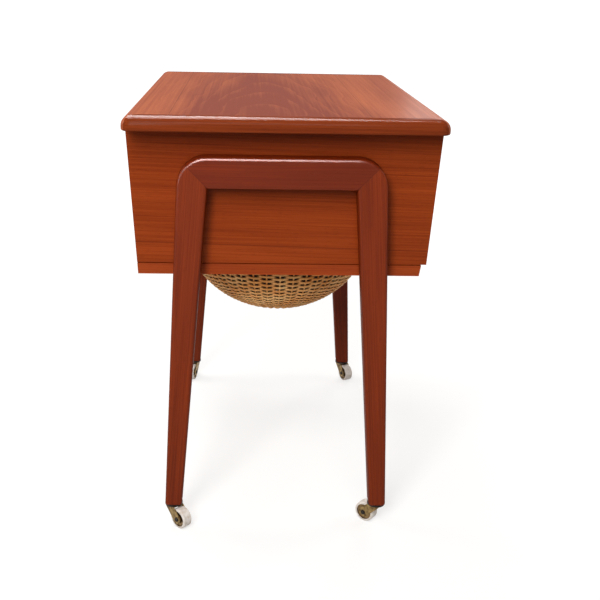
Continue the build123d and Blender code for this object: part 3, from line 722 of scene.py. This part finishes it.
def strand_grids(tree, inputs, strands, steps):
    """Realised grids, and a point's place in them: X 0 to 1 along the cane, Y 0 to 1 round it, Z the strand."""
    steps_up = add_node(tree, "ShaderNodeMath", {0: steps, 1: 1.0}, operation="ADD")
    sides_up = add_node(tree, "ShaderNodeMath", {0: inputs["Sides"], 1: 1.0}, operation="ADD")
    grid = add_node(
        tree, "GeometryNodeMeshGrid",
        {"Size X": 1.0, "Size Y": 1.0, "Vertices X": steps_up, "Vertices Y": sides_up},
    )
    corner = add_node(tree, "GeometryNodeTransform", {"Geometry": grid, "Translation": (0.5, 0.5, 0)})
    line = add_node(tree, "GeometryNodeMeshLine", {"Count": strands, "Offset": (0, 0, 1)})
    spread = add_node(tree, "GeometryNodeInstanceOnPoints", {"Points": line, "Instance": corner})
    grids = add_node(tree, "GeometryNodeRealizeInstances", {"Geometry": spread})
    position = add_node(tree, "GeometryNodeInputPosition")
    return grids, add_node(tree, "ShaderNodeSeparateXYZ", {0: position}).outputs


def keep_value(tree, geometry, name, value):
    """Store a number on every point, for the material to read."""
    stored = {"Geometry": geometry, "Name": name, "Value": value}
    return add_node(tree, "GeometryNodeStoreNamedAttribute", stored)


def close_and_paint(tree, inputs, output, geometry, place):
    """Move the points to their places, close the seams, shade smooth and set the material."""
    moved = add_node(tree, "GeometryNodeSetPosition", {"Geometry": geometry, "Position": place})
    closed = add_node(tree, "GeometryNodeMergeByDistance", {"Geometry": moved, "Distance": seam_gap})
    smooth = add_node(tree, "GeometryNodeSetShadeSmooth", {"Geometry": closed})
    painted = add_node(tree, "GeometryNodeSetMaterial", {"Geometry": smooth, "Material": inputs["Material"]})
    tree.links.new(painted.outputs[0], output.inputs[0])
    print(tree.name, "has", len(tree.nodes), "nodes")


print("every strand has the inputs", ", ".join(strand_inputs))

# %% [markdown]
# Every strand has to know where the bowl's side is and which way it faces. The bowl could be sampled from its
# mesh, but half an ellipsoid has a formula: one angle goes round it, another goes down. Equal angles would
# crowd the stakes at the long ends of the oval, so the angle round is evened out a little first.

# %% Places on the bowl
full_turn = 2 * pi


def oval_angles(tree, inputs, round_share, down_angle):
    """Cosine and sine of the angle at a share of the way round the bowl, then of the angle down its side."""
    round_angle = add_node(tree, "ShaderNodeMath", {0: round_share, 1: full_turn}, operation="MULTIPLY")
    twice = add_node(tree, "ShaderNodeMath", {0: round_angle, 1: 2.0}, operation="MULTIPLY")
    sway = add_node(tree, "ShaderNodeMath", {0: twice}, operation="SINE")
    even = add_node(
        tree, "ShaderNodeMath", {0: sway, 1: inputs["Evening"], 2: round_angle}, operation="MULTIPLY_ADD"
    )
    return [
        add_node(tree, "ShaderNodeMath", {0: angle}, operation=function)
        for angle in (even, down_angle) for function in ("COSINE", "SINE")
    ]


def on_bowl(tree, inputs, angles):
    """Point of the bowl at these angles and the direction straight out of it."""
    c_round, s_round, c_down, s_down = angles
    unit_x = add_node(tree, "ShaderNodeMath", {0: c_round, 1: c_down}, operation="MULTIPLY")
    unit_y = add_node(tree, "ShaderNodeMath", {0: s_round, 1: c_down}, operation="MULTIPLY")
    unit_z = add_node(tree, "ShaderNodeMath", {0: s_down, 1: -1.0}, operation="MULTIPLY")
    unit = add_node(tree, "ShaderNodeCombineXYZ", {"X": unit_x, "Y": unit_y, "Z": unit_z})
    place = add_node(tree, "ShaderNodeVectorMath", {0: unit, 1: inputs["Half Axes"]}, operation="MULTIPLY")
    rim = add_node(tree, "ShaderNodeCombineXYZ", {"Z": inputs["Rim Height"]})
    place = add_node(tree, "ShaderNodeVectorMath", {0: place, 1: rim}, operation="ADD")
    outward = add_node(tree, "ShaderNodeVectorMath", {0: unit, 1: inputs["Half Axes"]}, operation="DIVIDE")
    return place, add_node(tree, "ShaderNodeVectorMath", {0: outward}, operation="NORMALIZE")


def along_bowl(tree, inputs, angles):
    """Level direction round the bowl."""
    c_round, s_round = angles[:2]
    back = add_node(tree, "ShaderNodeMath", {0: s_round, 1: -1.0}, operation="MULTIPLY")
    along = add_node(tree, "ShaderNodeCombineXYZ", {"X": back, "Y": c_round})
    along = add_node(tree, "ShaderNodeVectorMath", {0: along, 1: inputs["Half Axes"]}, operation="MULTIPLY")
    return add_node(tree, "ShaderNodeVectorMath", {0: along}, operation="NORMALIZE")


def fall_of_bowl(tree, inputs, angles):
    """Length of the bowl's side for each radian of the angle down."""
    c_round, s_round, c_down, s_down = angles
    fall_x = add_node(tree, "ShaderNodeMath", {0: c_round, 1: s_down}, operation="MULTIPLY")
    fall_y = add_node(tree, "ShaderNodeMath", {0: s_round, 1: s_down}, operation="MULTIPLY")
    fall = add_node(tree, "ShaderNodeCombineXYZ", {"X": fall_x, "Y": fall_y, "Z": c_down})
    fall = add_node(tree, "ShaderNodeVectorMath", {0: fall, 1: inputs["Half Axes"]}, operation="MULTIPLY")
    return add_node(tree, "ShaderNodeVectorMath", {0: fall}, operation="LENGTH").outputs["Value"]


evening = (bowl_half_length - bowl_half_depth) / (bowl_half_length + bowl_half_depth) / 2
print("the angle round the bowl sways by up to", round(degrees(evening), 1), "degrees")

# %% [markdown]
# Three steps come back in every strand: turning a share of its length into an angle down the bowl, going round
# its own section, and moving a place along some directions. They could be typed out in each tree, but a helper
# for each keeps the trees alike.

# %% Helpers for one strand
def down_between(tree, inputs, share):
    """Angle down the bowl at a share of the way from the start to the end."""
    span = {"Value": share, "To Min": inputs["Start Angle"], "To Max": inputs["End Angle"]}
    return add_node(tree, "ShaderNodeMapRange", span, clamp=False)


def round_section(tree, here):
    """Cosine and sine of the angle round the strand's own section."""
    angle = add_node(tree, "ShaderNodeMath", {0: here["Y"], 1: full_turn}, operation="MULTIPLY")
    return [
        add_node(tree, "ShaderNodeMath", {0: angle}, operation=function) for function in ("COSINE", "SINE")
    ]


def moved_along(tree, place, moves):
    """A place moved along some directions, each by its own length."""
    for direction, length in moves:
        move = add_node(tree, "ShaderNodeVectorMath", {0: direction, "Scale": length}, operation="SCALE")
        place = add_node(tree, "ShaderNodeVectorMath", {0: place, 1: move}, operation="ADD")
    return place


print("each tree finds a strand's angle down, its section and its place")

# %% [markdown]
# A weaver goes in front of one stake and behind the next, which a cosine gives: it turns once for every two
# stakes, and half a turn later in each next row. Behind a stake the weaver lies flat and wide, so that no light
# shows through, and in front it is as wide as its row. How far a point stands out is kept for the material,
# which paints shade on what lies behind.

# %% Tree for the weavers
behind_width, front_width = 2.1, 1.02

weaver_tree, inputs, output = tree_with_inputs(
    "woven_rows",
    {**strand_inputs, "Stakes": "Int", "Rows": "Int", "End Angle": "Float", "Weave Depth": "Float"},
)
steps = add_node(weaver_tree, "ShaderNodeMath", {0: inputs["Stakes"], 1: inputs["Steps"]}, operation="MULTIPLY")
grids, here = strand_grids(weaver_tree, inputs, inputs["Rows"], steps)
row_share = add_node(weaver_tree, "ShaderNodeMath", {0: here["Z"], 1: inputs["Rows"]}, operation="DIVIDE")
angles = oval_angles(weaver_tree, inputs, here["X"], down_between(weaver_tree, inputs, row_share))
place, outward = on_bowl(weaver_tree, inputs, angles)
along = along_bowl(weaver_tree, inputs, angles)
side = add_node(weaver_tree, "ShaderNodeVectorMath", {0: outward, 1: along}, operation="CROSS_PRODUCT")
c_cane, s_cane = round_section(weaver_tree, here)

phase = add_node(
    weaver_tree, "ShaderNodeMath", {0: here["X"], 1: inputs["Stakes"], 2: here["Z"]}, operation="MULTIPLY_ADD"
)
phase = add_node(weaver_tree, "ShaderNodeMath", {0: phase, 1: pi}, operation="MULTIPLY")
in_and_out = add_node(weaver_tree, "ShaderNodeMath", {0: phase}, operation="COSINE")
push = add_node(weaver_tree, "ShaderNodeMath", {0: in_and_out, 1: inputs["Weave Depth"]}, operation="MULTIPLY")
push = add_node(
    weaver_tree, "ShaderNodeMath", {0: c_cane, 1: inputs["Cane Thickness"], 2: push}, operation="MULTIPLY_ADD"
)

turn = add_node(
    weaver_tree, "ShaderNodeMath", {0: inputs["End Angle"], 1: inputs["Start Angle"]}, operation="SUBTRACT"
)
turn = add_node(weaver_tree, "ShaderNodeMath", {0: turn, 1: inputs["Rows"]}, operation="DIVIDE")
fall = fall_of_bowl(weaver_tree, inputs, angles)
pitch = add_node(weaver_tree, "ShaderNodeMath", {0: fall, 1: turn}, operation="MULTIPLY")
widen = add_node(
    weaver_tree, "ShaderNodeMapRange",
    {"Value": in_and_out, "From Min": -1.0, "From Max": 0.0, "To Min": behind_width, "To Max": front_width},
)
width = add_node(weaver_tree, "ShaderNodeMath", {0: pitch, 1: inputs["Cane Width"]}, operation="MULTIPLY")
width = add_node(weaver_tree, "ShaderNodeMath", {0: width, 1: widen}, operation="MULTIPLY")
spread = add_node(weaver_tree, "ShaderNodeMath", {0: s_cane, 1: width}, operation="MULTIPLY")

place = moved_along(weaver_tree, place, [(outward, push), (side, spread)])
# How far each point stands out: the cane material paints shade where it lies behind.
exposed = add_node(weaver_tree, "ShaderNodeMath", {0: in_and_out, 1: c_cane}, operation="MULTIPLY")
grids = keep_value(weaver_tree, grids, "exposed", exposed)
grids = keep_value(weaver_tree, grids, "strand", here["Z"])
close_and_paint(weaver_tree, inputs, output, grids, place)

# %% [markdown]
# The stakes run down the bowl at even steps round it. They could be left out, as little of them shows, but a
# gap between two weavers would then open on nothing. A stake's section shrinks to a point at both ends, which
# closes it.

# %% Tree for the stakes
stake_tree, inputs, output = tree_with_inputs(
    "basket_stakes", {**strand_inputs, "Stakes": "Int", "End Angle": "Float"}
)
grids, here = strand_grids(stake_tree, inputs, inputs["Stakes"], inputs["Steps"])
stake_share = add_node(stake_tree, "ShaderNodeMath", {0: here["Z"], 1: inputs["Stakes"]}, operation="DIVIDE")
angles = oval_angles(stake_tree, inputs, stake_share, down_between(stake_tree, inputs, here["X"]))
place, outward = on_bowl(stake_tree, inputs, angles)
along = along_bowl(stake_tree, inputs, angles)
c_cane, s_cane = round_section(stake_tree, here)
tip = add_node(stake_tree, "ShaderNodeMath", {0: here["X"], 1: 0.5}, operation="PINGPONG")
tip = add_node(stake_tree, "ShaderNodeMath", {0: tip, 1: inputs["Steps"]}, operation="MULTIPLY", use_clamp=True)
c_cane = add_node(stake_tree, "ShaderNodeMath", {0: c_cane, 1: tip}, operation="MULTIPLY")
s_cane = add_node(stake_tree, "ShaderNodeMath", {0: s_cane, 1: tip}, operation="MULTIPLY")
push = add_node(stake_tree, "ShaderNodeMath", {0: c_cane, 1: inputs["Cane Thickness"]}, operation="MULTIPLY")
spread = add_node(stake_tree, "ShaderNodeMath", {0: s_cane, 1: inputs["Cane Width"]}, operation="MULTIPLY")
place = moved_along(stake_tree, place, [(outward, push), (along, spread)])
grids = keep_value(stake_tree, grids, "strand", here["Z"])
close_and_paint(stake_tree, inputs, output, grids, place)

# %% [markdown]
# The rim is a flat hoop, wrapped with cane. Each turn of the wrapping could be a strand of its own, but a hoop
# with ridges that climb round it like a screw thread looks the same and has no ends. One grid makes it, pushed
# out from the edge of the bowl so that it rests on the board.

# %% Tree for the wrapped rim
groove_shade_level = -0.7
rim_tree, inputs, output = tree_with_inputs(
    "wrapped_rim",
    {**strand_inputs, "Wraps": "Int", "Wrap Height": "Float", "Reach": "Float", "Lift": "Float"},
)
grids, here = strand_grids(rim_tree, inputs, 1, inputs["Steps"])
angles = oval_angles(rim_tree, inputs, here["X"], inputs["Start Angle"])
place, outward = on_bowl(rim_tree, inputs, angles)
c_cane, s_cane = round_section(rim_tree, here)
wraps = add_node(
    rim_tree, "ShaderNodeMath", {0: here["X"], 1: inputs["Wraps"], 2: here["Y"]}, operation="MULTIPLY_ADD"
)
wraps = add_node(rim_tree, "ShaderNodeMath", {0: wraps, 1: full_turn}, operation="MULTIPLY")
ridge = add_node(rim_tree, "ShaderNodeMath", {0: wraps}, operation="COSINE")
swell = add_node(rim_tree, "ShaderNodeMath", {0: ridge, 1: inputs["Wrap Height"]}, operation="MULTIPLY")
reach = add_node(rim_tree, "ShaderNodeMath", {0: swell, 1: inputs["Cane Width"]}, operation="ADD")
reach = add_node(
    rim_tree, "ShaderNodeMath", {0: c_cane, 1: reach, 2: inputs["Reach"]}, operation="MULTIPLY_ADD"
)
rise = add_node(rim_tree, "ShaderNodeMath", {0: swell, 1: inputs["Cane Thickness"]}, operation="ADD")
rise = add_node(
    rim_tree, "ShaderNodeMath", {0: s_cane, 1: rise, 2: inputs["Lift"]}, operation="MULTIPLY_ADD"
)
place = moved_along(rim_tree, place, [(outward, reach), ((0, 0, 1), rise)])
# The grooves between the wraps count as lying behind, so the cane material paints shade into them.
exposed = add_node(rim_tree, "ShaderNodeMapRange", {"Value": ridge, "From Min": -1.0, "To Min": groove_shade_level})
grids = keep_value(rim_tree, grids, "exposed", exposed)
close_and_paint(rim_tree, inputs, output, grids, place)

# %% [markdown]
# Cane is the peeled core of a climbing palm: straw-coloured, nearly matt and uneven from strand to strand.
# Where a strand dips behind a stake it lies in shadow. Light alone would leave these slits too pale, as the
# real ones are deeper than the model's, so the material paints shade there: it reads how far each point stands
# out and darkens what lies behind.

# %% Cane
patch_size = 25 * MM
patch_from, patch_to = 0.35, 0.65
strand_change = 0.25
slit_shade_from, slit_shade_to = -0.5, -0.02
pale_straw, tan_straw = linear("FFC985"), linear("EC9F55")
brown_straw, slit_painted_shade = linear("B8743C"), linear("2E1204")

# Aged cane: warm straw with browner strands, and painted shade in the slits behind the stakes.
cane, tree, shader = new_material("aged_cane")
object_place = add_node(tree, "ShaderNodeTexCoord").outputs["Object"]
patches = add_node(tree, "ShaderNodeTexNoise", {"Vector": object_place, "Scale": 1 / patch_size, "Detail": 4.0})
patches = add_node(tree, "ShaderNodeMapRange", {"Value": patches, "From Min": patch_from, "From Max": patch_to})
straw = add_node(tree, "ShaderNodeMix", {0: patches, 6: pale_straw, 7: tan_straw}, data_type="RGBA")
strand = add_node(tree, "ShaderNodeAttribute", attribute_name="strand").outputs["Fac"]
uneven = add_node(tree, "ShaderNodeTexWhiteNoise", {"W": strand}, noise_dimensions="1D").outputs["Value"]
uneven = add_node(tree, "ShaderNodeMath", {0: uneven, 1: strand_change}, operation="MULTIPLY")
straw = add_node(tree, "ShaderNodeMix", {0: uneven, 6: straw.outputs[2], 7: brown_straw}, data_type="RGBA")
exposed = add_node(tree, "ShaderNodeAttribute", attribute_name="exposed").outputs["Fac"]
# Painted shade: the slits behind the stakes and the rim's grooves are darkened by how far the cane stands out.
unshaded_share = add_node(
    tree, "ShaderNodeMapRange", {"Value": exposed, "From Min": slit_shade_from, "From Max": slit_shade_to}
)
straw = add_node(tree, "ShaderNodeMix", {0: unshaded_share, 6: slit_painted_shade, 7: straw.outputs[2]}, data_type="RGBA")
tree.links.new(straw.outputs[2], shader.inputs["Base Color"])
shader.inputs["Roughness"].default_value = 0.5
shader.inputs["Specular IOR Level"].default_value = 0.1
print(cane.name, "has", len(tree.nodes), "nodes")

# %% [markdown]
# Now the trees are run. A modifier could stay live on the basket, but a plain mesh is what other programs can
# read, so each tree is run once and its result is kept. The weave has two zones with an even number of rows
# each, so that the pattern goes on from one to the next, and each zone stays a light mesh.

# %% Weave the sides of the basket
stake_count = 52
row_turn = radians(1.85)
rim_cover = 3 * MM
rim_turn = -(bowl_high.z - bowl_rim - rim_cover) / bowl_drop
upper_turn = radians(36)
lower_turn = radians(72)
common = {
    "Stakes": stake_count, "Sides": 6, "Half Axes": half_axes, "Rim Height": bowl_rim, "Evening": evening,
    "Material": cane,
}
weave = {"Steps": 8, "Weave Depth": 1.55 * MM, "Cane Thickness": 0.85 * MM, "Cane Width": 0.5}


def make_woven(name, tree, values):
    """Run a tree with its inputs and keep the result as a plain mesh."""
    source = bpy.data.objects.new(f"{name}_source", bpy.data.meshes.new(f"{name}_source"))
    scene.collection.objects.link(source)
    modifier = source.modifiers.new("weave", "NODES")
    modifier.node_group = tree
    for item in tree.interface.items_tree:
        if item.in_out == "INPUT":
            modifier[item.identifier] = values[item.name]
    bpy.context.view_layer.update()
    evaluated = source.evaluated_get(bpy.context.evaluated_depsgraph_get())
    mesh = bpy.data.meshes.new_from_object(evaluated)
    mesh.name = name
    piece = bpy.data.objects.new(name, mesh)
    scene.collection.objects.link(piece)
    bpy.data.objects.remove(source)
    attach(piece, "basket")
    print(name, "has", sum(len(p.vertices) - 2 for p in mesh.polygons), "triangles")
    return piece


def zone_between(start, end):
    """Inputs of a zone of the weave between two angles, with an even number of rows."""
    rows = 2 * round((end - start) / row_turn / 2)
    return {"Rows": rows, "Start Angle": start, "End Angle": end}


upper_weave = make_woven(
    "basket_upper_weave", weaver_tree, {**common, **weave, **zone_between(rim_turn, upper_turn)}
)
make_woven(
    "basket_lower_weave", weaver_tree, {**common, **weave, **zone_between(upper_turn, lower_turn)}
)

# %% [markdown]
# Stakes, base and rim finish the basket. The stakes would crowd in the middle of the base, so they end under
# its edge, and the base is woven on fewer. The woven pieces then take the place of the plain bowl and ride with
# it.

# %% Stakes, base and rim of the basket
stake_turn = radians(74)
stake_size = {"Steps": 24, "Cane Thickness": 1.0 * MM, "Cane Width": 1.25 * MM}
base_turn = radians(91)
base_size = {"Stakes": 20, "Rows": 11}
rim_drop = 2.05 * MM
rim_size = {
    "Wraps": 200, "Steps": 1200, "Sides": 10, "Wrap Height": 0.3 * MM, "Cane Thickness": 1.7 * MM,
    "Cane Width": 6.1 * MM, "Reach": 4 * MM, "Lift": bowl_high.z - bowl_rim - rim_drop,
}

make_woven(
    "basket_stakes", stake_tree, {**common, **stake_size, "Start Angle": rim_turn, "End Angle": stake_turn}
)
make_woven(
    "basket_base", weaver_tree,
    {**common, **weave, **base_size, "Start Angle": lower_turn, "End Angle": base_turn},
)
make_woven("basket_rim", rim_tree, {**common, **rim_size, "Start Angle": 0.0})
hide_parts("cane_basket")
